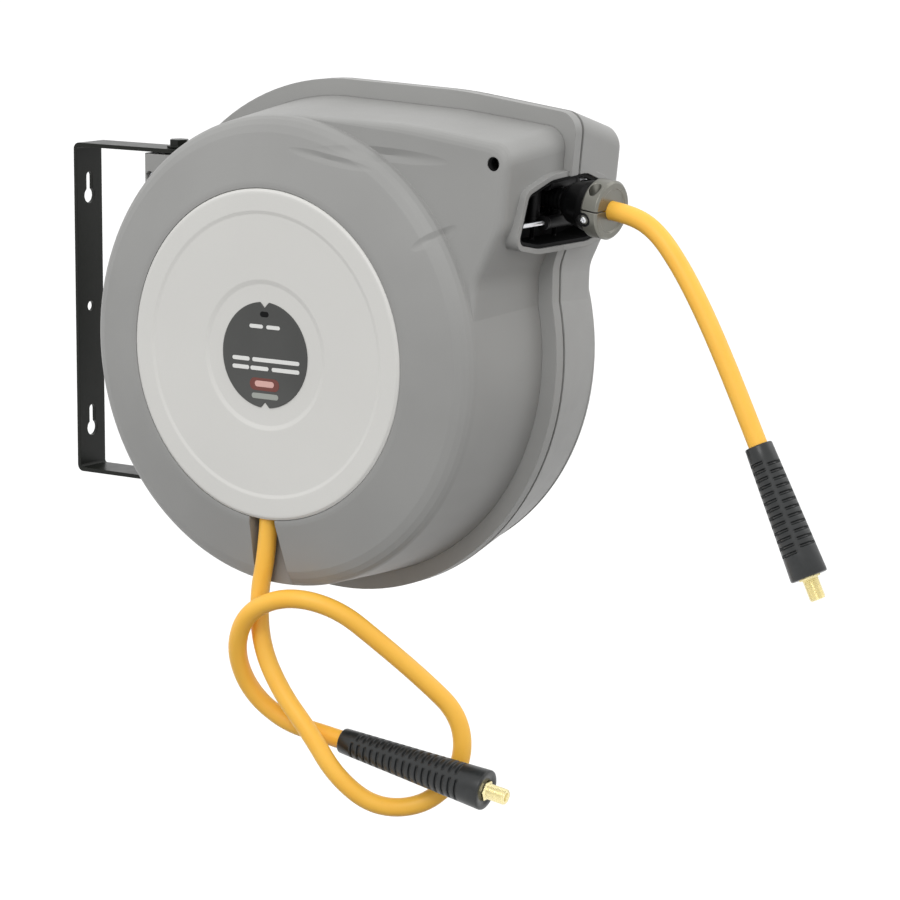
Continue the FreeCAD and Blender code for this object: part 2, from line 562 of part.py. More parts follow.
def ratchet_ring():
    """Toothed ring on the near flange; each tooth has one steep side."""
    points, step = [], 2 * math.pi / RATCHET_TEETH
    for i in range(RATCHET_TEETH):
        for share, r in ((0.0, RATCHET_ROOT), (0.72, RATCHET_TIP),
                         (0.86, RATCHET_TIP), (0.93, RATCHET_ROOT)):
            a = (i + share) * step
            points.append((RATCHET_X[0], r * math.cos(a), r * math.sin(a)))
    ring = polygon(points).extrude(Vector(RATCHET_X[1] - RATCHET_X[0], 0, 0))
    return ring.cut(cyl_x(RATCHET_BORE, RATCHET_X[0] - 1, RATCHET_X[1] + 1))


def pawl():
    """Catch that drops between the ratchet's teeth."""
    x0, x1 = PAWL_X
    arm = polygon([(x0, PAWL_Y + 2, PAWL_Z - 6), (x0, PAWL_Y + 2, PAWL_Z + 6), (x0, 0, PAWL_Z + 4),
                   (x0, PAWL_TIP_Y, PAWL_Z - 1), (x0, PAWL_TIP_Y, RATCHET_TIP + 0.8),
                   (x0, 4, RATCHET_TIP + 1.6), (x0, 12, PAWL_Z - 2.5)]).extrude(Vector(x1 - x0, 0, 0))
    arm = arm.fuse(cyl_x(7, x0, x1, PAWL_Y, PAWL_Z))
    return arm.cut(cyl_x(PAWL_PIN_R + RUN_GAP, x0 - 1, x1 + 1, PAWL_Y, PAWL_Z))


def pawl_pin():
    return cyl_x(PAWL_PIN_R, -79.8, -64.9, PAWL_Y, PAWL_Z)


def pawl_spring():
    """Light compression spring that holds the pawl down."""
    low, high, wire, radius = PAWL_Z + 4.7, SPRING_TOP - 0.1, 0.5, 3.2
    coil = Part.makeHelix((high - low - 2 * wire) / 6, high - low - 2 * wire, radius)
    disc = Part.Wire(Part.makeCircle(wire, Vector(radius, 0, 0), Vector(0, 1, 0)))
    spring = Part.Wire(coil).makePipeShell([disc], True, True)
    spring.translate(Vector(sum(PAWL_X) / 2, 7, low + wire))
    return spring


# ---------------------------------------------------------------- power spring
def spring_case():
    x0, x1 = DRUM_FAR, DRUM_FAR + SPRING_CASE_W
    cup = cyl_x(SPRING_CASE_R, x0 + 0.02, x1).cut(
        cyl_x(SPRING_CASE_R - SPRING_CASE_T, x0 + 1.5, x1 + 1))
    return cup.cut(cyl_x(BUSH_OUT + 1, x0 - 1, x0 + 3))


def spring_case_lid():
    x1 = DRUM_FAR + SPRING_CASE_W
    return ring_x(SPRING_CASE_R, BUSH_OUT, x1, x1 + 2.0)


def mainspring():
    """Flat strip wound in half circles from the arbor out to the spring case."""
    x0, x1 = DRUM_FAR + 4, DRUM_FAR + SPRING_CASE_W - 3
    halves = 2 * STRIP_TURNS
    pitch = (SPRING_OUT - SPRING_IN) / halves
    rails = []
    for grow in (0.0, STRIP_T):
        rail = []
        for i in range(halves):
            r, side = SPRING_IN + i * pitch + grow, 1 if i % 2 == 0 else -1
            middle = 0.0 if side > 0 else -pitch
            rail.append(Part.Arc(Vector(x0, middle - side * r, 0), Vector(x0, middle, side * r),
                                 Vector(x0, middle + side * r, 0)).toShape())
        rails.append(rail)
    inner, outer = rails
    caps = [Part.LineSegment(inner[0].Vertexes[0].Point, outer[0].Vertexes[0].Point).toShape(),
            Part.LineSegment(inner[-1].Vertexes[-1].Point, outer[-1].Vertexes[-1].Point).toShape()]
    loop = Part.Wire(Part.__sortEdges__(inner + outer + caps))
    return Part.Face(loop).extrude(Vector(x1 - x0, 0, 0))


def spring_arbor():
    """Sleeve on the fixed axle that holds the inner end of the mainspring."""
    sleeve = ring_x(15.0, AXLE_R, DRUM_FAR + 2, DRUM_FAR + SPRING_CASE_W - 2)
    return sleeve.cut(box(DRUM_FAR + 6, DRUM_FAR + 23, -1.2, 1.2, 11, 16))


# ---------------------------------------------------------------- air inlet inside the cover
def inlet_elbow():
    """Brass elbow: spigot into the axle, and a leg down to the hose."""
    body = Part.makeSphere(ELBOW_R, Vector(ELBOW_X, 0, 0)).fuse([
        cyl_x(AIR_R, ELBOW_X, -74), cyl_x(ELBOW_R - 0.4, ELBOW_X, AXLE_NEAR),
        cyl_z(6.5, -33.8, 0, ELBOW_X, 0), cyl_z(7.8, -22, -12, ELBOW_X, 0)])
    bore = cyl_z(3.0, -35, 0, ELBOW_X, 0).fuse(cyl_x(3.0, ELBOW_X, -70))
    return body.cut(bore)


def inlet_crimp():
    """Crimped sleeve that holds the hose on the elbow."""
    a, b = Vector(*INNER_INLET[0]), Vector(*INNER_INLET[1])
    axis = (b - a).normalize()
    sleeve = Part.makeCylinder(CRIMP_R, 22, a + axis * 1.0, axis)
    return sleeve.cut(Part.makeCylinder(HOSE_R, 40, a - axis * 5, axis))


def tube(route, name, radius=HOSE_R):
    """Round hose along straight runs joined by arcs as large as the runs allow."""
    points = [Vector(*p) for p in route]
    corners = []
    for i in range(1, len(points) - 1):
        before, after = points[i] - points[i - 1], points[i + 1] - points[i]
        turn = before.getAngle(after)
        corners.append((points[i], RADIUS_SHARE * min(before.Length, after.Length) / math.tan(turn / 2)))
    edges = rounded_edges(points[0], corners, points[-1])
    path = Part.Wire(edges)
    heading = (points[1] - points[0]).normalize()
    disc = Part.Wire(Part.makeCircle(radius, points[0], heading))
    solid = path.makePipeShell([disc], True, False)
    print(name, "runs", [round((b - a).Length) for a, b in zip(points, points[1:])])
    print(name, "radii", [round(r) for p, r in corners], "length", round(path.Length, 1),
          "volume ratio", round(solid.Volume / (math.pi * radius ** 2 * path.Length), 4))
    return solid


# ---------------------------------------------------------------- hose guide in the window
def roller_line(name):
    """Axis of one roller before the guide's tilt: a point at its middle, and its direction."""
    across, up = ROLLERS[name]
    if up:
        return Vector(0, LEVEL_Y, up * ROLLER_OFF), Vector(1, 0, 0)
    return Vector(across * ROLLER_OFF, UPRIGHT_Y, 0), Vector(0, 0, 1)


def on_roller_line(name, radius, low, high):
    centre, along = roller_line(name)
    return in_guide(Part.makeCylinder(radius, high - low, centre + along * low, along))


def guide_frame():
    """Tray in the window: walls that carry the roller pins, and a back with a hose hole."""
    frame = window_prism(-0.3, -1.0, 28.0).cut(window_prism(-3.3, -2.0, 25.5))
    hole = in_guide(box(-13, 13, 20, 30, -13, 13))
    return frame.cut([hole, upper_pocket()] + roller_pins(PIN_R + 0.02))


def upper_pocket():
    """Room for the upper roller in the top wall of the tray and of the window's lip."""
    return on_roller_line("upper", ROLLER_R + 0.9, -22, 22)


def roller(name):
    """Waisted roller, a little thicker at its ends."""
    centre, along = roller_line(name)
    low, high = ROLLER_ENDS[name]
    profile = [(low, 0), (low, ROLLER_R), (low + 3, ROLLER_R), (low + 5, ROLLER_R - 0.8),
               (high - 5, ROLLER_R - 0.8), (high - 3, ROLLER_R), (high, ROLLER_R), (high, 0)]
    solid = in_guide(turned(profile, centre, along))
    return solid.cut(on_roller_line(name, PIN_R + RUN_GAP, low - 2, high + 2))


def roller_pins(radius=PIN_R):
    return [on_roller_line(name, radius, *PIN_ENDS[name]) for name in ROLLERS]


# ---------------------------------------------------------------- hose stop, sleeves and fittings
def stop_frame():
    """Origin and outward direction of the hose stop, from the first run of the outlet hose."""
    a, b = Vector(*INNER_OUTLET[-2]), Vector(*OUTLET_ROUTE[0])
    return b, (b - a).normalize()


def along_stop(profile):
    origin, out = stop_frame()
    return turned(profile, origin, out)


def stop_half(side):
    """One half of the clamp that stops the hose end at the window."""
    body = along_stop([(-STOP_L, STOP_BORE), (-STOP_L, STOP_R - 2.5), (-STOP_L + 2.5, STOP_R),
                       (-1.8, STOP_R), (0, STOP_R - 1.8), (0, STOP_R - 6), (-1.2, STOP_R - 7),
                       (-1.2, STOP_BORE)])
    origin, out = stop_frame()
    block = box(-40, 40, -40, 40, STOP_SPLIT / 2, 40)
    if side < 0:
        block = block.mirror(Vector(0, 0, 0), Vector(0, 0, 1))
    turn = FreeCAD.Rotation(Vector(0, -1, 0), out)
    block.Placement = FreeCAD.Placement(origin, turn)
    body = body.common(block)
    return body.cut(stop_screw_shapes(0.1) + stop_pockets(side))


def stop_screw_axis(side):
    origin, out = stop_frame()
    turn = FreeCAD.Rotation(Vector(0, -1, 0), out)
    at = origin + turn.multVec(Vector(side * 16.0, STOP_L / 2 + 0.5, 0))
    return at, turn.multVec(Vector(0, 0, 1))


def stop_screw_shapes(grow=0.0):
    """Two screws that draw the clamp's halves together; side -1 is the near one."""
    solids = []
    for side in (-1, 1):
        at, up = stop_screw_axis(side)
        head = Part.makeCylinder(3.6 + grow, 3 + grow, at + up * 8, up)
        shank = Part.makeCylinder(SHANK_R + grow, 18.5 + 2 * grow, at - up * (10.5 + grow), up)
        solids.append(shank.fuse(head))
    return solids


def stop_pockets(side):
    """Recesses over the screw heads, in the upper half only."""
    if side < 0:
        return []
    pockets = []
    for s in (-1, 1):
        at, up = stop_screw_axis(s)
        pockets.append(Part.makeCylinder(5.0, 16, at + up * 8, up))
    return pockets


def stop_bumper():
    """Rubber ring behind the clamp that meets the window's edge."""
    back = -STOP_L - BUMPER_L
    return along_stop([(back, STOP_BORE + 0.4), (back, 13.5), (back + 5, 17), (-STOP_L - 6, 21.0),
                       (-STOP_L - 0.05, 21.5), (-STOP_L - 0.05, STOP_BORE + 0.4)])


def sleeve(spec, route):
    """Ribbed bend restrictor on a hose end, with a socket for the hose and one for the ferrule."""
    length, r0, r1, ribs = spec["length"], spec["r0"], spec["r1"], spec["ribs"]
    pitch = (length - 30) / ribs
    profile = [(0, HOSE_R + 0.05), (0, r0 - 0.8), (0.8, r0)]
    for i in range(ribs):
        a = 12 + i * pitch
        for share, drop in ((0.0, 0.0), (0.12, 1.5), (0.42, 1.5), (0.54, 0.0)):
            at = a + share * pitch
            profile.append((at, r0 + (r1 - r0) * at / length - drop))
    profile += [(length - 1.5, r1), (length, r1 - 1.5), (length, FERRULE_R),
                (length - FERRULE_L, FERRULE_R), (length - FERRULE_L, FITTING_BORE),
                (spec["socket"], FITTING_BORE), (spec["socket"], HOSE_R + 0.05)]
    return turned(profile, spec["start"], heading(route))


def heading(route):
    return (Vector(*route[-1]) - Vector(*route[-2])).normalize()


def hose_fitting(spec, route):
    """Brass male fitting: ferrule in the sleeve, shoulder and thread outside it."""
    length = spec["length"]
    profile = [(length - FERRULE_L, FITTING_BORE), (length - FERRULE_L, FERRULE_R),
               (length, FERRULE_R), (length + 1.5, FERRULE_R), (length + 1.5, THREAD_R),
               (length + 1.5 + THREAD_L, THREAD_R), (length + 1.5 + THREAD_L, FITTING_BORE)]
    return turned(profile, spec["start"], heading(route))


# ---------------------------------------------------------------- build
def main():
    save("wall_bracket", wall_bracket(), wall_frame=True)
    save("pivot_bushes", *pivot_bushes(), wall_frame=True)
    save("pivot_bolts", *pivot_bolts(), wall_frame=True)
    save("pivot_inserts", *pivot_inserts(), wall_frame=True)
    save("near_case_half", near_case_half())
    save("far_case_half", far_case_half())
    save("near_side_cover", side_cover(-1))
    save("far_side_cover", side_cover(1))
    save("cover_label", cover_label())
    save("case_screws", *case_screws())
    save("ear_screws", *ear_screws())
    save("main_axle", main_axle())
    save("axle_nuts", *axle_nuts())
    save("swivel_block", swivel_block())
    save("swivel_seals", *swivel_seals())
    save("drum_pipe", drum_pipe())
    save("near_drum_flange", drum_flange(DRUM_NEAR, BUSH_OUT))
    save("far_drum_flange", drum_flange(DRUM_FAR - FLANGE_T, BUSH_OUT))
    save("drum_barrel", drum_barrel())
    save("drum_bushes", *drum_bushes())
    save("drum_tie_bolts", *tie_bolts())
    save("wound_hose", wound_hose())
    save("ratchet_ring", ratchet_ring())
    save("pawl", pawl())
    save("pawl_pin", pawl_pin())
    save("pawl_spring", pawl_spring())
    save("spring_case", spring_case())
    save("spring_case_lid", spring_case_lid())
    save("mainspring", mainspring())
    save("spring_arbor", spring_arbor())
    save("inlet_elbow", inlet_elbow())
    save("inlet_crimp", inlet_crimp())
    save("inner_inlet_hose", tube(INNER_INLET, "inner inlet"))
    save("inner_outlet_hose", tube(INNER_OUTLET, "inner outlet"))
    save("guide_frame", guide_frame())
    save("roller_pins", *roller_pins())
    for name in ROLLERS:
        save(name + "_guide_roller", roller(name))
    save("hose_stop_upper", stop_half(1))
    save("hose_stop_lower", stop_half(-1))
    save("hose_stop_screws", *stop_screw_shapes())
    save("hose_stop_bumper", stop_bumper())
    save("outlet_hose", tube(OUTLET_ROUTE, "outlet"))
    save("outlet_bend_sleeve", sleeve(OUTLET_SLEEVE, OUTLET_ROUTE))
    save("outlet_fitting", hose_fitting(OUTLET_SLEEVE, OUTLET_ROUTE))
    save("inlet_hose", tube(INLET_ROUTE, "inlet"))
    save("inlet_bend_sleeve", sleeve(INLET_SLEEVE, INLET_ROUTE))
    save("inlet_fitting", hose_fitting(INLET_SLEEVE, INLET_ROUTE))


main()
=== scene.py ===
"""Looks of a wall-mounted air hose reel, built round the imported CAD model. Metres, +Z up.

The wall is the plane Y = 0, the reel stands out along -Y, and the drum's axis lies along X.
"""
import json
import math

import bmesh
import bpy
from mathutils import Matrix, Vector


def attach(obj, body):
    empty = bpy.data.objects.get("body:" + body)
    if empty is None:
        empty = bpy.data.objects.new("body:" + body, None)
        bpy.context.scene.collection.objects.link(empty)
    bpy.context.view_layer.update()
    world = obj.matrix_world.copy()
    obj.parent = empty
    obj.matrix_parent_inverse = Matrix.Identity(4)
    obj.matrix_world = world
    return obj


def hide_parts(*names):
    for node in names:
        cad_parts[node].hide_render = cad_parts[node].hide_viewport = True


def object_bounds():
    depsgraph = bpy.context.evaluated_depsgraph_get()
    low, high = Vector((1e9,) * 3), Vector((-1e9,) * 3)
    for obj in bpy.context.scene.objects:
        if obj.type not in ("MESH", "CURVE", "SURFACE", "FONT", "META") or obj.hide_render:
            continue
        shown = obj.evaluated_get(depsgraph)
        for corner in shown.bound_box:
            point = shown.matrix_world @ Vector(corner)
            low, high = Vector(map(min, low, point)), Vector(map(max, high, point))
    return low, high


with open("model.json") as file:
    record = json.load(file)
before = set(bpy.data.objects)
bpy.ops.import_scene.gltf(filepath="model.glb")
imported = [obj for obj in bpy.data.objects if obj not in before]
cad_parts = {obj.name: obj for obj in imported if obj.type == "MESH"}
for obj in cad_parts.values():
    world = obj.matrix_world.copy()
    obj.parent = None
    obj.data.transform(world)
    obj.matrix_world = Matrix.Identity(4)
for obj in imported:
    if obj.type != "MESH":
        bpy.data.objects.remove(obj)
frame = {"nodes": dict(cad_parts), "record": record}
CAD_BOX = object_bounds()
NODES = frame["nodes"]

MM = 0.001
DRUM_AXIS = Vector((0, -0.2895, -0.007))
NEAR, FAR = Vector((-1, 0, 0)), Vector((1, 0, 0))

# Routes of the free hoses, in millimetres from the drum's axis, as in the CAD source.
OUTLET_ROUTE = [(0, -275.5, 130.5), (0, -296.3, 127.94), (0, -319, 116), (0, -340, 91.5),
                (0, -360, 61), (0, -379.5, 26), (0, -400.5, -15.5), (0, -420.9, -57.3)]
INLET_ROUTE = [(-98, 6, -148), (-98, 8, -172), (-98, 17, -210), (-99, 14, -254),
               (-99, -8, -292), (-97, -37, -323), (-92.7, -61.9, -359.6), (-72.6, -90, -387),
               (-45, -124.3, -383.8), (-26.5, -147, -350.8), (-27.9, -145.8, -306.6),
               (-50.5, -119.8, -271.9), (-73, -93, -241), (-95.4, -65.5, -211.3),
               (-115.6, -27.9, -201.4), (-121.2, 11.8, -218.9), (-112.6, 32.5, -256.5),
               (-94.2, 30.2, -296.8), (-79.2, 2.6, -323.7), (-71.9, -32.5, -329.5),
               (-69, -62.1, -334.8)]
HOSE_R = 0.008

# Sleeves and fittings on the hose ends, as in the CAD source.
OUTLET_SLEEVE = dict(start=(0, -417, -49.3), length=113.0, r0=11.5, r1=15.5, ribs=13)
INLET_SLEEVE = dict(start=(-70, -52, -333), length=143.0, r0=11.0, r1=17.5, ribs=17)
RIBS_FROM, COLLARS = 12.0, 30.0
GROOVE_DEPTH, STEPS_PER_RIB = 2.6, 14
ROW_TURN = 0.35
SLOT_LENGTHWISE = (0.16, 0.60, 0.10)
SLOT_AROUND = (0.06, 0.94, 0.08)
SOCKET_R, FERRULE_R, FERRULE_L = 8.05, 8.95, 12.0
THREAD_R, THREAD_L, THREAD_PITCH, THREAD_DEPTH, FITTING_BORE = 6.85, 18.0, 1.34, 0.75, 3.6
COLLAR_R, HEX_HALF = 8.6, 7.85


def place(point):
    """A point given in millimetres from the drum's axis, in the row frame."""
    return DRUM_AXIS + Vector(point) * MM


# ---------------------------------------------------------------- camera
VIEW_AZIMUTH, VIEW_ELEVATION, VIEW_ROLL = -54.56, 9.85, 0.18
VIEW_AIM = Vector((-0.0311, -0.4250, -0.0847))
VIEW_DISTANCE, LENS = 3.2012, 152.51


def add_camera():
    az, el, roll = (math.radians(v) for v in (VIEW_AZIMUTH, VIEW_ELEVATION, VIEW_ROLL))
    back = Vector((math.sin(az) * math.cos(el), -math.cos(az) * math.cos(el), math.sin(el)))
    level = Vector((math.cos(az), math.sin(az), 0))
    upright = back.cross(level)
    right = level * math.cos(roll) + upright * math.sin(roll)
    up = back.cross(right)
    data = bpy.data.cameras.new("camera")
    data.lens = LENS
    data.sensor_width = 36
    data.clip_end = 100
    camera = bpy.data.objects.new("camera", data)
    camera.matrix_world = Matrix.Translation(VIEW_AIM + back * VIEW_DISTANCE) @ Matrix(
        (right, up, back)).transposed().to_4x4()
    bpy.context.collection.objects.link(camera)
    bpy.context.scene.camera = camera


# ---------------------------------------------------------------- shader helpers
class Shader:
    """A material with a principled shader, and short calls for the nodes in front of it."""

    def __init__(self, name, **sockets):
        self.material = bpy.data.materials.new(name)
        self.material.use_nodes = True
        self.tree = self.material.node_tree
        self.main = self.tree.nodes["Principled BSDF"]
        for key, value in sockets.items():
            self.main.inputs[key.replace("_", " ")].default_value = value
        self.place = self.tree.nodes.new("ShaderNodeTexCoord").outputs["Object"]

    def node(self, kind, inputs=(), **settings):
        made = self.tree.nodes.new("ShaderNode" + kind)
        for key, value in settings.items():
            setattr(made, key, value)
        for key, value in dict(inputs).items():
            if isinstance(value, bpy.types.NodeSocket):
                self.tree.links.new(value, made.inputs[key])
            else:
                made.inputs[key].default_value = value
        return made

    def mapped(self, **inputs):
        """Object coordinates moved, turned and scaled."""
        inputs = {key.capitalize(): value for key, value in inputs.items()}
        return self.node("Mapping", {"Vector": self.place, **inputs}).outputs["Vector"]

    def noise(self, scale, detail=2.0, rough=0.5, vector=None):
        return self.node("TexNoise", {"Vector": vector or self.place, "Scale": scale,
                                      "Detail": detail, "Roughness": rough}).outputs["Fac"]

    def ramp(self, value, low, high, from_=(0.0, 1.0)):
        """value moved from one range to another, kept inside it."""
        return self.node("MapRange", {"Value": value, "From Min": from_[0], "From Max": from_[1],
                                      "To Min": low, "To Max": high}).outputs["Result"]

    def math(self, operation, a, b):
        return self.node("Math", {0: a, 1: b}, operation=operation).outputs["Value"]

    def mix(self, factor, a, b):
        made = self.node("Mix", data_type="RGBA")
        for index, value in ((0, factor), (6, a), (7, b)):
            if isinstance(value, bpy.types.NodeSocket):
                self.tree.links.new(value, made.inputs[index])
            else:
                made.inputs[index].default_value = value
        return made.outputs[2]

    def bump(self, height, strength, distance, normal=None):
        inputs = {"Height": height, "Strength": strength, "Distance": distance}
        if normal:
            inputs["Normal"] = normal
        return self.node("Bump", inputs).outputs["Normal"]

    def rounded(self, radius):
        """Normals softened over edges of this radius, as on a moulded or filed edge."""
        return self.node("Bevel", {"Radius": radius}, samples=6).outputs["Normal"]

    def edge_wear_and_highlight(self, soft_normal, grain):
        """1 on rubbed edges, broken up by a noise, and 0 on flat faces; the lighter colour laid on
        them is partly wear and partly a painted edge highlight.
        """
        flat = self.node("NewGeometry").outputs["Normal"]
        facing = self.node("VectorMath", {0: soft_normal, 1: flat}, operation="DOT_PRODUCT")
        edge = self.ramp(facing.outputs["Value"], 1.0, 0.0, (0.82, 0.985))
        broken = self.ramp(self.noise(grain, 4.0), 0.0, 1.0, (0.42, 0.62))
        return self.math("MULTIPLY", edge, broken)

    def set(self, socket, value):
        self.tree.links.new(value, self.main.inputs[socket])


def rgba(r, g, b):
    return (r, g, b, 1.0)


def scaled(colour, factor):
    return rgba(*[min(1.0, c * factor) for c in colour])


# ---------------------------------------------------------------- materials
# Shallow marks pressed in the case's side: (middle y, z), angle, half length, half width in mm.
NEAR_CREASES = [((-398.0, 166.0), 2.5, 62.0, 6.0), ((-350.0, 160.5), 9.5, 42.0, 4.5),
                ((-452.0, 101.5), -30.0, 20.0, 5.5)]
CREASE_DEPTH = 0.0022


def creases(s, marks):
    """Height from 0 down to -1 in long narrow grooves of the YZ plane."""
    total = None
    for (y, z), angle, half_long, half_wide in marks:
        moved = s.node(
            "Mapping", {"Vector": s.place, "Location": (0.0, y * MM, z * MM),
                        "Rotation": (math.radians(angle), 0.0, 0.0),
                        "Scale": (1.0, half_long * MM, half_wide * MM)}, vector_type="TEXTURE")
        flat = s.node("VectorMath", {0: moved.outputs["Vector"], 1: (0.0, 1.0, 1.0)},
                      operation="MULTIPLY").outputs["Vector"]
        blob = s.node("TexGradient", {"Vector": flat}, gradient_type="SPHERICAL").outputs["Fac"]
        total = blob if total is None else s.math("ADD", total, blob)
    return s.ramp(total, 0.0, -1.0, (0.0, 1.0))


def moulded_plastic(name, colour, roughness, grain=0.10, drift=0.06, edge=0.0012, marks=(),
                    shine=0.42):
    """Fine-grained moulded plastic: faint flow marks, a spark-eroded grain and edges painted paler,
    partly as rubbed wear and partly as a painted highlight.
    """
    s = Shader(name, Specular_IOR_Level=shine)
    fine = s.noise(900.0, 3.0, 0.6)
    grainy = s.noise(2600.0, 2.0, 0.7)
    tone = s.mix(s.ramp(s.noise(6.0, 3.0), 0, 1, (0.35, 0.65)),
                 scaled(colour, 1 - drift), scaled(colour, 1 + drift))
    tone = s.mix(s.ramp(grainy, 0.0, 0.30, (0.45, 0.75)), tone, scaled(colour, 0.84))
    soft = s.rounded(edge)
    # Paler edges: partly rubbed wear, partly a painted edge highlight.
    worn_and_highlit = s.ramp(s.edge_wear_and_highlight(soft, 160.0), 0.0, 0.35)
    s.set("Base Color", s.mix(worn_and_highlit, tone, scaled(colour, 1.35)))
    s.set("Roughness", s.ramp(s.noise(60.0, 4.0), roughness - 0.05, roughness + 0.07))
    normal = soft
    if marks:
        normal = s.bump(creases(s, marks), 1.0, CREASE_DEPTH, normal)
    normal = s.bump(fine, grain, 0.0004, normal)
    s.set("Normal", s.bump(grainy, grain * 1.2, 0.00015, normal))
    return s.material


def powder_coat(name, colour, roughness, wear=(0.16, 0.16, 0.15), **sockets):
    """Powder-coated metal: smooth gloss, an orange-peel ripple, and edges painted lighter, partly
    as rubbed wear and partly as a painted highlight.
    """
    s = Shader(name, **sockets)
    soft = s.rounded(0.0009)
    tone = s.mix(s.ramp(s.noise(30.0, 4.0), 0, 0.6), rgba(*colour),
                 rgba(*[c * 1.5 + 0.004 for c in colour]))
    # Lighter edges: partly rubbed coat, partly a painted edge highlight.
    s.set("Base Color", s.mix(s.ramp(s.edge_wear_and_highlight(soft, 240.0), 0.0, 0.6), tone, rgba(*wear)))
    s.set("Roughness", s.ramp(s.noise(80.0, 5.0), roughness - 0.05, roughness + 0.1))
    s.set("Normal", s.bump(s.noise(420.0, 2.0), 0.10, 0.0004, soft))
    return s.material


def metal(name, colour, roughness, brushed=(1, 1, 1), wear=0.25):
    """Bare or plated metal with a turned or brushed grain, dull patches and bright edges."""
    s = Shader(name, Metallic=1.0)
    soft = s.rounded(0.0005)
    lines = s.noise(600.0, 3.0, 0.6, s.mapped(scale=brushed))
    tone = s.mix(s.ramp(s.noise(45.0, 5.0, 0.6), 0, 1, (0.35, 0.75)), rgba(*colour),
                 scaled(colour, 1 - wear))
    s.set("Base Color", tone)
    s.set("Roughness", s.ramp(s.noise(220.0, 3.0), roughness - 0.06, roughness + 0.12))
    s.set("Normal", s.bump(lines, 0.12, 0.0002, soft))
    return s.material


def hose_skin(name, colour):
    """Flexible polymer hose: satin, a little translucent, with faint drawing marks and scuffs."""
    s = Shader(name, Specular_IOR_Level=0.45, Subsurface_Weight=0.08, Subsurface_Scale=0.004,
               Subsurface_Radius=(1.0, 0.55, 0.15))
    tone = s.mix(s.ramp(s.noise(26.0, 4.0), 0, 1, (0.3, 0.7)), rgba(*colour),
                 rgba(colour[0], colour[1] * 0.94, colour[2] * 0.8))
    scuff = s.ramp(s.noise(340.0, 5.0, 0.65), 0.0, 0.35, (0.60, 0.78))
    s.set("Base Color", s.mix(scuff, tone, rgba(colour[0] * 0.86, colour[1] * 0.80, colour[2])))
    s.set("Roughness", s.ramp(s.noise(150.0, 3.0), 0.36, 0.52))
    s.set("Normal", s.bump(s.noise(700.0, 3.0), 0.08, 0.0003))
    return s.material


def black_rubber(name, colour=(0.012, 0.0135, 0.014), shine=0.5):
    """Moulded rubber with a dry bloom, its raised edges painted paler, partly as rubbed wear and
    partly as a painted highlight.
    """
    s = Shader(name, Specular_IOR_Level=shine)
    bloom = s.ramp(s.noise(90.0, 5.0, 0.6), 0, 0.6, (0.45, 0.8))
    soft = s.rounded(0.0006)
    tone = s.mix(bloom, rgba(*colour), scaled(colour, 2.2))
    # Paler edges: partly rubbed rubber, partly a painted edge highlight.
    s.set("Base Color", s.mix(s.ramp(s.edge_wear_and_highlight(soft, 300.0), 0.0, 0.5), tone, scaled(colour, 4)))
    s.set("Roughness", s.ramp(s.noise(200.0, 3.0), 0.26, 0.42))
    s.set("Normal", s.bump(s.noise(1400.0, 3.0), 0.08, 0.0003, soft))
    return s.material


def make_materials():
    grey, pale, black = (0.305, 0.304, 0.296), (0.672, 0.666, 0.640), (0.0030, 0.0030, 0.0032)
    return {
        "case_grey": moulded_plastic("case_grey", grey, 0.46),
        "case_grey_near": moulded_plastic("case_grey_near", grey, 0.46, marks=NEAR_CREASES),
        "cover_grey": moulded_plastic("cover_grey", pale, 0.44, 0.06, 0.02),
        "label_charcoal": moulded_plastic("label_charcoal", (0.062, 0.063, 0.060), 0.36, 0.04,
                                          0.2, 0.0004),
        "label_white": moulded_plastic("label_white", (0.78, 0.78, 0.76), 0.5, 0.03, 0.04, 0.0003),
        "label_red": moulded_plastic("label_red", (0.16, 0.045, 0.035), 0.5, 0.03, 0.04, 0.0003),
        "label_pink": moulded_plastic("label_pink", (0.70, 0.42, 0.38), 0.5, 0.03, 0.04, 0.0003),
        "label_silver": moulded_plastic("label_silver", (0.34, 0.36, 0.33), 0.5, 0.03, 0.1, 0.0003),
        "nylon_black": moulded_plastic("nylon_black", black, 0.6, edge=0.0006, shine=0.12),
        "drum_black": moulded_plastic("drum_black", (0.020, 0.020, 0.022), 0.45),
        "roller_nylon": moulded_plastic("roller_nylon", black, 0.5, edge=0.0005, shine=0.2),
        # The bracket's faint edge colour is partly bare metal, partly a painted edge highlight.
        "bracket_black": powder_coat("bracket_black", (0.005, 0.006, 0.004), 0.32, (0.04,) * 3,
                                     Specular_IOR_Level=0.22),
        "case_steel": powder_coat("case_steel", (0.03, 0.03, 0.033), 0.4),
        # The stop's pale edge colour is partly rubbed metal, partly a painted highlight on its
        # ring.
        "stop_alloy": powder_coat("stop_alloy", (0.165, 0.163, 0.142), 0.28, (0.62, 0.6, 0.55),
                                  Metallic=0.65),
        "zinc_steel": metal("zinc_steel", (0.74, 0.75, 0.77), 0.28),
        "axle_steel": metal("axle_steel", (0.60, 0.60, 0.62), 0.32, (1, 0.05, 0.05)),
        "spring_steel": metal("spring_steel", (0.20, 0.22, 0.27), 0.3),
        "brass_fitting": metal("brass_fitting", (0.88, 0.78, 0.44), 0.24, wear=0.12),
        "hose_yellow": hose_skin("hose_yellow", (0.99, 0.55, 0.072)),
        "black_rubber": black_rubber("black_rubber"),
        "boot_rubber": black_rubber("boot_rubber", black, 0.15),
    }


def dress_nodes(materials):
    """Each CAD node takes the material of its slot."""
    slots = {row["node"]: row["material_slot"] for row in frame["record"]["subparts"]}
    slots.update(near_case_half="case_grey_near", hose_stop_bumper="boot_rubber")
    for name, node in NODES.items():
        node.data.materials.clear()
        node.data.materials.append(materials[slots[name]])


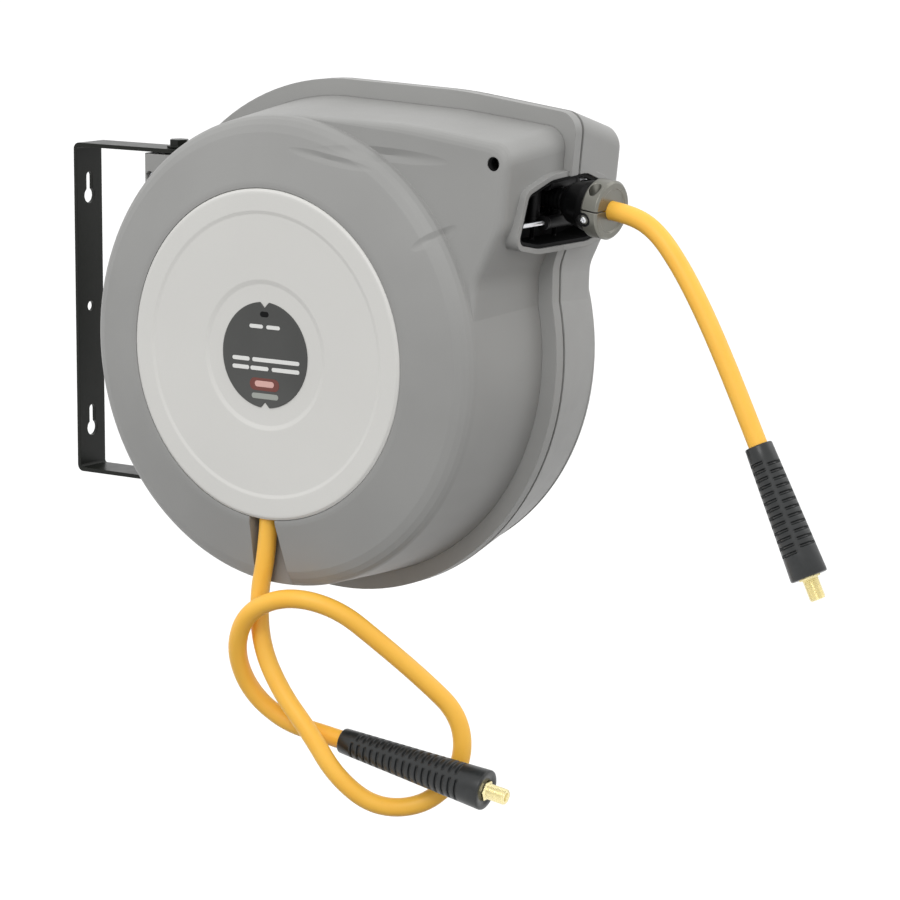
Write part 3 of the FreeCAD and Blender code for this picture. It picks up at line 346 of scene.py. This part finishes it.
# ---------------------------------------------------------------- mesh helpers
def new_object(name, data, material, body):
    piece = bpy.data.objects.new(name, data)
    bpy.context.collection.objects.link(piece)
    data.materials.append(material)
    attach(piece, body)
    return piece


def to_data(mesh, name, matrix=None):
    bmesh.ops.recalc_face_normals(mesh, faces=mesh.faces)
    if matrix:
        mesh.transform(matrix)
    data = bpy.data.meshes.new(name)
    mesh.to_mesh(data)
    mesh.free()
    data.shade_smooth()
    return data


def frame_along(origin, heading):
    """Matrix whose Z runs along heading, for shapes drawn along Z."""
    return Matrix.Translation(origin) @ Vector(heading).to_track_quat("Z", "Y").to_matrix().to_4x4()


def add_rings(mesh, stations, sides, radius=None, closed=True, matrix=None):
    """Skin through (along, r) stations round Z; radius(along, r, angle) may change r."""
    rings = []
    for along, r in stations:
        ring = []
        for k in range(sides):
            angle = 2 * math.pi * k / sides
            reach = radius(along, r, angle) if radius else r
            at = Vector((reach * math.cos(angle), reach * math.sin(angle), along))
            ring.append(mesh.verts.new(matrix @ at if matrix else at))
        rings.append(ring)
    pairs = list(zip(rings, rings[1:]))
    if closed:
        pairs.append((rings[-1], rings[0]))
    for lower, upper in pairs:
        for k in range(sides):
            n = (k + 1) % sides
            mesh.faces.new((lower[k], lower[n], upper[n], upper[k]))
    if not closed:
        mesh.faces.new(rings[0][::-1])
        mesh.faces.new(rings[-1])


def turned(name, stations, matrix, sides, radius=None):
    """Closed skin of revolution, in metres, from stations in millimetres."""
    mesh = bmesh.new()
    add_rings(mesh, stations, sides, radius)
    bmesh.ops.scale(mesh, vec=(MM, MM, MM), verts=mesh.verts)
    return to_data(mesh, name, matrix)


def smooth_step(value, low, high):
    t = max(0.0, min(1.0, (value - low) / (high - low)))
    return t * t * (3 - 2 * t)


def pulse(value, low, high, soft):
    """0 outside low..high, 1 inside, with soft shoulders."""
    return smooth_step(value, low, low + soft) * (1 - smooth_step(value, high - soft, high))


# ---------------------------------------------------------------- hoses
def hose(name, route, material):
    """Free hose as a NURBS curve whose control points are the route's points."""
    curve = bpy.data.curves.new(name, "CURVE")
    curve.dimensions = "3D"
    curve.bevel_depth = HOSE_R
    curve.bevel_resolution = 8
    curve.resolution_u = 16
    curve.use_fill_caps = True
    spline = curve.splines.new("NURBS")
    spline.points.add(len(route) - 1)
    for point, at in zip(spline.points, route):
        point.co = (*place(at), 1)
    spline.order_u = 3
    spline.use_endpoint_u = True
    return new_object(name, curve, material, "case")


def end_frame(spec, route):
    """Matrix of a hose end: Z runs along the route's last run."""
    return frame_along(place(spec["start"]), Vector(route[-1]) - Vector(route[-2]))


def sleeve(name, spec, route, material):
    """Rubber bend restrictor: smooth collars and four rows of slots that miss each other."""
    length, r0, r1 = spec["length"], spec["r0"], spec["r1"]
    pitch = (length - COLLARS) / spec["ribs"]

    def slotted(along, r, angle):
        row, part = divmod(angle / (math.pi / 2) + ROW_TURN, 1)
        odd = row % 2
        count = (along - RIBS_FROM) / pitch - 0.5 * odd
        if r < r0 or not 0 <= count <= spec["ribs"] - odd:
            return r
        return r - GROOVE_DEPTH * pulse(count % 1, *SLOT_LENGTHWISE) * pulse(part, *SLOT_AROUND)

    stations = [(0, SOCKET_R), (0, r0 - 1.2), (0.35, r0 - 0.35), (1.2, r0)]
    for step in range(spec["ribs"] * STEPS_PER_RIB + 1):
        at = RIBS_FROM + step * pitch / STEPS_PER_RIB
        stations.append((at, r0 + (r1 - r0) * at / length))
    stations += [(length - 1.6, r1), (length - 0.5, r1 - 0.35), (length, r1 - 1.3),
                 (length, FERRULE_R + 0.05), (length - FERRULE_L, FERRULE_R + 0.05),
                 (length - FERRULE_L, SOCKET_R)]
    data = turned(name, stations, end_frame(spec, route), 128, slotted)
    return new_object(name, data, material, "case")


def fitting(name, spec, route, material):
    """Brass male end: ferrule in the sleeve, a thin hexagon and a cut thread."""
    root = spec["length"] + 1.5
    tip = root + THREAD_L

    def cut(along, r, angle):
        if r > THREAD_R + 1 and along > spec["length"] - 0.5:
            turn = (angle % (math.pi / 3)) - math.pi / 6
            return min(r, HEX_HALF / math.cos(turn))
        if r > FITTING_BORE + 1 and root < along < tip:
            wave = abs(((along / THREAD_PITCH - angle / (2 * math.pi)) % 1) * 2 - 1)
            fade = smooth_step(along, root, root + 1.5) * 0.5 + 0.5
            return r - THREAD_DEPTH * wave * fade
        return r

    stations = [(spec["length"] - FERRULE_L, FITTING_BORE), (spec["length"] - FERRULE_L, COLLAR_R),
                (spec["length"] - 0.4, COLLAR_R), (spec["length"], FERRULE_R),
                (root - 0.3, FERRULE_R), (root, COLLAR_R), (root, THREAD_R)]
    count = int(THREAD_L / THREAD_PITCH * 10)
    for step in range(1, count):
        at = root + THREAD_L * step / count
        stations.append((at, THREAD_R - 0.7 * smooth_step(at, tip - 1.6, tip)))
    stations += [(tip, 5.6), (tip, FITTING_BORE + 0.5), (tip - 0.5, FITTING_BORE)]
    data = turned(name, stations, end_frame(spec, route), 96, cut)
    return new_object(name, data, material, "case")


def add_hose_end(name, route, spec, materials):
    line = hose(name + "_hose_line", route, materials["hose_yellow"])
    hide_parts(name + "_hose")
    restrictor = sleeve(name + "_sleeve_slotted", spec, route, materials["black_rubber"])
    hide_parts(name + "_bend_sleeve")
    thread = fitting(name + "_fitting_threaded", spec, route, materials["brass_fitting"])
    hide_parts(name + "_fitting")


# ---------------------------------------------------------------- screws
def add_screw(mesh, at, out, r, thick, length, shank_r=2.0):
    """Pan head with a cross recess standing along out from at, and a threaded shank behind it."""
    matrix = frame_along(at, out)
    rings, sides = 14, 64
    grid = []
    for i in range(rings + 1):
        share = i / rings
        row = []
        for k in range(sides):
            a = 2 * math.pi * k / sides
            u, v = share * r * math.cos(a), share * r * math.sin(a)
            arm = max(pulse(u / r, -0.17, 0.17, 0.07) * pulse(v / r, -0.62, 0.62, 0.12),
                      pulse(v / r, -0.17, 0.17, 0.07) * pulse(u / r, -0.62, 0.62, 0.12))
            height = thick * (1 - 0.45 * share ** 5) - 0.6 * thick * arm
            row.append(mesh.verts.new(matrix @ (Vector((u, v, height)) * MM)))
            if i == 0:
                break
        grid.append(row)
    centre = grid[0][0]
    for k in range(sides):
        mesh.faces.new((centre, grid[1][k], grid[1][(k + 1) % sides]))
    for lower, upper in zip(grid[1:], grid[2:]):
        for k in range(sides):
            n = (k + 1) % sides
            mesh.faces.new((lower[k], upper[k], upper[n], lower[n]))
    base = [mesh.verts.new(matrix @ (Vector((r * math.cos(2 * math.pi * k / sides),
                                             r * math.sin(2 * math.pi * k / sides), 0)) * MM))
            for k in range(sides)]
    for k in range(sides):
        n = (k + 1) % sides
        mesh.faces.new((grid[-1][k], base[k], base[n], grid[-1][n]))
    mesh.faces.new(base[::-1])

    def threaded(along, reach, angle):
        wave = abs(((along / 1.6 + angle / (2 * math.pi)) % 1) * 2 - 1)
        return reach - 0.4 * wave
    stations = [(-0.02 - i * 0.4, shank_r) for i in range(int(length / 0.4))]
    shrink = Matrix.Diagonal((MM, MM, MM, 1.0))
    add_rings(mesh, stations[::-1], 20, threaded, closed=False, matrix=matrix @ shrink)


def add_screws(name, node, heads, materials):
    """One piece for all the screws of a CAD node; heads are (point, direction, sizes)."""
    mesh = bmesh.new()
    for at, out, sizes in heads:
        add_screw(mesh, at, out, *sizes)
    piece = new_object(name, to_data(mesh, name), materials["zinc_steel"], "case")
    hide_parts(node)
    return piece


SCREW_SPOTS = [(-190, 88), (-65, -185), (65, -185), (169, -99), (169, 99), (70, 184)]
NOSE_SCREW = (-215, 171.5)
EAR_SCREW_SPOTS = [(201, 131), (201, -118)]
STOP_BACK = (0, -225.5, 136.65)
SCREW_HEAD, STOP_SCREW_HEAD = (4.2, 3.0), (3.6, 3.0)
STOP_SCREW_SIDE, STOP_SCREW_BACK, STOP_SCREW_UP = 16.0, 9.0, 8.0


def stop_axes():
    """Front centre of the hose stop, and the turn from -Y to its axis."""
    front = Vector(OUTLET_ROUTE[0])
    out = (front - Vector(STOP_BACK)).normalized()
    return front, Vector((0, -1, 0)).rotation_difference(out)


def make_screws(materials):
    heads = [(place((67, y, z)), FAR, (*SCREW_HEAD, 91.0)) for y, z in SCREW_SPOTS]
    heads.append((place((-66, *NOSE_SCREW)), NEAR, (*SCREW_HEAD, 99.0)))
    add_screws("case_screws_cross", "case_screws", heads, materials)
    heads = [(place((-11, y, z)), NEAR, (*SCREW_HEAD, 25.0)) for y, z in EAR_SCREW_SPOTS]
    add_screws("ear_screws_cross", "ear_screws", heads, materials)
    front, turn = stop_axes()
    heads = []
    for side in (-1, 1):
        at = front + turn @ Vector(
            (side * STOP_SCREW_SIDE, STOP_SCREW_BACK, STOP_SCREW_UP))
        heads.append((place(at), turn @ Vector((0, 0, 1)), (*STOP_SCREW_HEAD, 18.0)))
    add_screws("stop_screws_cross", "hose_stop_screws", heads, materials)


# ---------------------------------------------------------------- hose stop and guide
# The boot is painted shade: black rubber filling the dark gap round the hose inside the stop.
BOOT_FROM, BOOT_TO, BOOT_R = -44.0, -84.0, 9.4
BOOT_PITCH, BOOT_GROOVE, BOOT_STEP = 2.0, 0.35, 0.5
SIDE_SCREW_ALONG, SIDE_SCREW_DROP, STOP_BARREL_R = 12.6, 19.0, 24.5
SIDE_CUP = [(-2.0, 0.4), (-2.0, 6.2), (0.0, 6.2), (0.5, 5.7), (0.5, 4.6), (-0.6, 3.8),
            (-0.6, 0.4)]
SIDE_SCREW_HEAD = (2.9, 1.6, 1.2, 1.2)
# A black cup lining the nose's screw recess: painted shade for the dark hole.
NOSE_SHADE_CUP_R, NOSE_SHADE_CUP_X, NOSE_SHADE_CUP_DEEP = 5.75, -83.6, 14.0
PIN_R = 2.0
GUIDE_AT, GUIDE_TILT = (0, -228.0, 134.5), 5.0
LEVEL_PINS = [((-61.5, 6.0, -16.5), 123.0), ((-31.5, 6.0, 16.5), 71.0)]
UPRIGHT_PINS = [((-16.5, 18.6, -33.5), 53.0), ((16.5, 18.6, -33.5), 53.0)]


def make_shade_boot(materials):
    """Ribbed rubber boot in the bumper's black, laid over the hose behind the stop's front: painted
    shade for the dark gap round the hose.
    """
    front, turn = stop_axes()
    out = turn @ Vector((0, -1, 0))
    stations = [(BOOT_TO, SOCKET_R), (BOOT_TO, BOOT_R - 0.6), (BOOT_TO + 0.6, BOOT_R)]
    steps = int((BOOT_FROM - BOOT_TO - 2) / BOOT_STEP)
    for step in range(1, steps):
        at = BOOT_TO + 1 + step * BOOT_STEP
        dip = (1 - math.cos(math.pi * at / BOOT_PITCH)) / 2
        stations.append((at, BOOT_R - BOOT_GROOVE * dip))
    stations += [(BOOT_FROM, BOOT_R), (BOOT_FROM, SOCKET_R)]
    data = turned("stop_shade_boot", stations, frame_along(place(front), out), 72)
    new_object("stop_shade_boot", data, materials["boot_rubber"], "case")


def make_side_screw(materials):
    """Small bright screw in a black cup on the near side of the stop."""
    front, turn = stop_axes()
    drop = math.radians(SIDE_SCREW_DROP)
    normal = Vector((-math.cos(drop), 0, -math.sin(drop)))
    at = place(front + turn @ (Vector((0, SIDE_SCREW_ALONG, 0)) + normal * STOP_BARREL_R))
    out = turn @ normal
    data = turned("stop_side_cup", SIDE_CUP, frame_along(at, out), 64)
    new_object("stop_side_cup", data, materials["boot_rubber"], "case")
    mesh = bmesh.new()
    add_screw(mesh, at - out * 0.5 * MM, out, *SIDE_SCREW_HEAD)
    new_object("stop_side_screw", to_data(mesh, "stop_side_screw"), materials["zinc_steel"],
               "case")


def make_pins(name, pins, heading, material):
    """Roller pins with chamfered ends and a clip groove near each."""
    tilt = Matrix.Rotation(math.radians(GUIDE_TILT), 3, "X")
    mesh = bmesh.new()
    shrink = Matrix.Diagonal((MM, MM, MM, 1.0))
    for at, length in pins:
        matrix = frame_along(place(Vector(GUIDE_AT) + tilt @ Vector(at)), tilt @ Vector(heading))
        stations = [(0, PIN_R - 0.5), (0.5, PIN_R), (2.0, PIN_R), (2.1, PIN_R - 0.3),
                    (2.8, PIN_R - 0.3), (2.9, PIN_R)]
        stations += [(length - a, r) for a, r in stations[::-1]]
        add_rings(mesh, stations, 32, closed=False, matrix=matrix @ shrink)
    return new_object(name, to_data(mesh, name), material, "case")


def make_guide(materials):
    """The hose guide's roller pins, and a black cup in the nose's screw recess: painted shade that
    makes the hole read dark.
    """
    level = make_pins("level_roller_pins", LEVEL_PINS, (1, 0, 0), materials["zinc_steel"])
    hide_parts("roller_pins")
    make_pins("upright_roller_pins", UPRIGHT_PINS, (0, 0, 1), materials["roller_nylon"])
    y, z = NOSE_SCREW
    # Painted shade: a black lining tube down the screw recess.
    shade_cup = [(0.0, NOSE_SHADE_CUP_R - 0.5), (0.3, NOSE_SHADE_CUP_R - 0.1), (0.6, NOSE_SHADE_CUP_R),
            (NOSE_SHADE_CUP_DEEP, NOSE_SHADE_CUP_R), (NOSE_SHADE_CUP_DEEP, NOSE_SHADE_CUP_R - 0.5)]
    data = turned("nose_screw_shade_cup", shade_cup, frame_along(place((NOSE_SHADE_CUP_X, y, z)), FAR), 48)
    new_object("nose_screw_shade_cup", data, materials["nylon_black"], "case")


# ---------------------------------------------------------------- label on the near cover
LABEL_R, LABEL_BACK, LABEL_FACE = 45.0, -109.0, -109.8
NOTCH_HALF, NOTCH_DEEP = 4.5, 5.0
# Plain bars, one to a line: (across from, across to, height of the middle, half width), slot.
LABEL_BARS = [
    (-16.0, -1.5, 24.0, 1.7, "label_white"), (2.0, 16.5, 24.0, 1.7, "label_white"),
    (-34.5, -15.8, -4.3, 1.8, "label_white"), (-13.2, 37.0, -4.3, 1.8, "label_white"),
    (-34.5, -16.4, -11.6, 1.8, "label_white"), (-15.2, 4.2, -11.6, 1.8, "label_white"),
    (7.5, 37.0, -11.6, 1.8, "label_white"),
    (-16.0, 15.5, -25.0, 5.4, "label_red"), (-10.5, 10.0, -24.6, 2.6, "label_pink"),
    (-14.0, 14.5, -35.0, 2.4, "label_silver")]


def plate_outline(r, notch):
    """Circle with a small V at its top and bottom."""
    points = []
    for k in range(360):
        a = 2 * math.pi * k / 360
        u, v = r * math.sin(a), r * math.cos(a)
        if abs(u) < notch:
            v = math.copysign(abs(v) - NOTCH_DEEP * (1 - abs(u) / notch), v)
        points.append((u, v))
    return points


def pill_outline(u0, u1, v, half):
    """Bar with round ends."""
    points = []
    reach = min(half, (u1 - u0) / 2)
    for centre, start in ((u1 - reach, -90), (u0 + reach, 90)):
        for step in range(13):
            a = math.radians(start + 15 * step)
            points.append((centre + reach * math.cos(a), v + half * math.sin(a)))
    return points


def on_cover(name, layers, material):
    """Closed plate through outlines (x, points) in the cover's plane, which faces -X."""
    mesh = bmesh.new()
    rows = [[mesh.verts.new(place((x, -u, v))) for u, v in points] for x, points in layers]
    for lower, upper in zip(rows, rows[1:]):
        for k in range(len(lower)):
            n = (k + 1) % len(lower)
            mesh.faces.new((lower[k], lower[n], upper[n], upper[k]))
    mesh.faces.new(rows[0])
    mesh.faces.new(rows[-1][::-1])
    data = to_data(mesh, name)
    data.shade_flat()
    return new_object(name, data, material, "case")


def make_label(materials):
    layers = [(LABEL_BACK, plate_outline(LABEL_R, NOTCH_HALF)),
              (LABEL_FACE + 0.25, plate_outline(LABEL_R, NOTCH_HALF)),
              (LABEL_FACE, plate_outline(LABEL_R - 0.5, NOTCH_HALF))]
    plate = on_cover("label_plate", layers, materials["label_charcoal"])
    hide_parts("cover_label")
    # A black pill laid on the label's face: painted shade standing in for a shallow groove.
    groove = [(LABEL_FACE - 0.01, pill_outline(-4.6, 4.6, 34.6, 2.4)),
              (LABEL_FACE - 0.06, pill_outline(-4.4, 4.4, 34.6, 2.2))]
    on_cover("label_groove_shade", groove, materials["nylon_black"])
    for count, (u0, u1, v, half, slot) in enumerate(LABEL_BARS):
        rise = 0.10 if slot == "label_pink" else 0.0
        bar = [(LABEL_FACE - 0.01 - rise, pill_outline(u0, u1, v, half)),
               (LABEL_FACE - 0.12 - rise, pill_outline(u0 + 0.1, u1 - 0.1, v, half - 0.1))]
        on_cover("label_bar_%02d" % count, bar, materials[slot])


# ---------------------------------------------------------------- stage and lights
def add_stage():
    low = CAD_BOX[0].z - 0.35
    bpy.ops.mesh.primitive_plane_add(size=80, location=(0, 0, low))
    floor = bpy.context.object
    floor.name = "floor"
    floor.visible_diffuse = False
    s = Shader("floor", Roughness=0.9, Base_Color=rgba(0.96, 0.96, 0.96))
    floor.data.materials.append(s.material)


def area_light(name, at, aim, size, power):
    data = bpy.data.lights.new(name, "AREA")
    data.shape = "DISK"
    data.size = size
    data.energy = power
    light = bpy.data.objects.new(name, data)
    light.location = at
    light.rotation_mode = "QUATERNION"
    light.rotation_quaternion = (Vector(aim) - Vector(at)).to_track_quat("-Z", "Y")
    bpy.context.collection.objects.link(light)


def add_world():
    """Soft white surroundings, brighter above than below."""
    world = bpy.data.worlds.new("studio")
    world.use_nodes = True
    tree = world.node_tree
    back = tree.nodes["Background"]
    back.inputs["Color"].default_value = rgba(1, 1, 1)
    place_in = tree.nodes.new("ShaderNodeTexCoord")
    split = tree.nodes.new("ShaderNodeSeparateXYZ")
    height = tree.nodes.new("ShaderNodeMapRange")
    for key, value in (("From Min", -0.75), ("From Max", 0.30), ("To Min", 0.04), ("To Max", 1.16)):
        height.inputs[key].default_value = value
    tree.links.new(place_in.outputs["Generated"], split.inputs["Vector"])
    tree.links.new(split.outputs["Z"], height.inputs["Value"])
    tree.links.new(height.outputs["Result"], back.inputs["Strength"])
    bpy.context.scene.world = world


def add_lights():
    bpy.context.scene.view_settings.view_transform = "Standard"
    add_world()
    aim = (0, -0.35, -0.02)
    area_light("key", (-2.2, -1.2, 1.6), aim, 1.0, 16)
    area_light("rim", (1.2, -1.6, 1.2), aim, 1.2, 4)


# ---------------------------------------------------------------- build
def main():
    add_camera()
    materials = make_materials()
    add_hose_end("outlet", OUTLET_ROUTE, OUTLET_SLEEVE, materials)
    add_hose_end("inlet", INLET_ROUTE, INLET_SLEEVE, materials)
    dress_nodes(materials)
    make_screws(materials)
    make_shade_boot(materials)
    make_side_screw(materials)
    make_guide(materials)
    make_label(materials)
    add_stage()
    add_lights()


main()
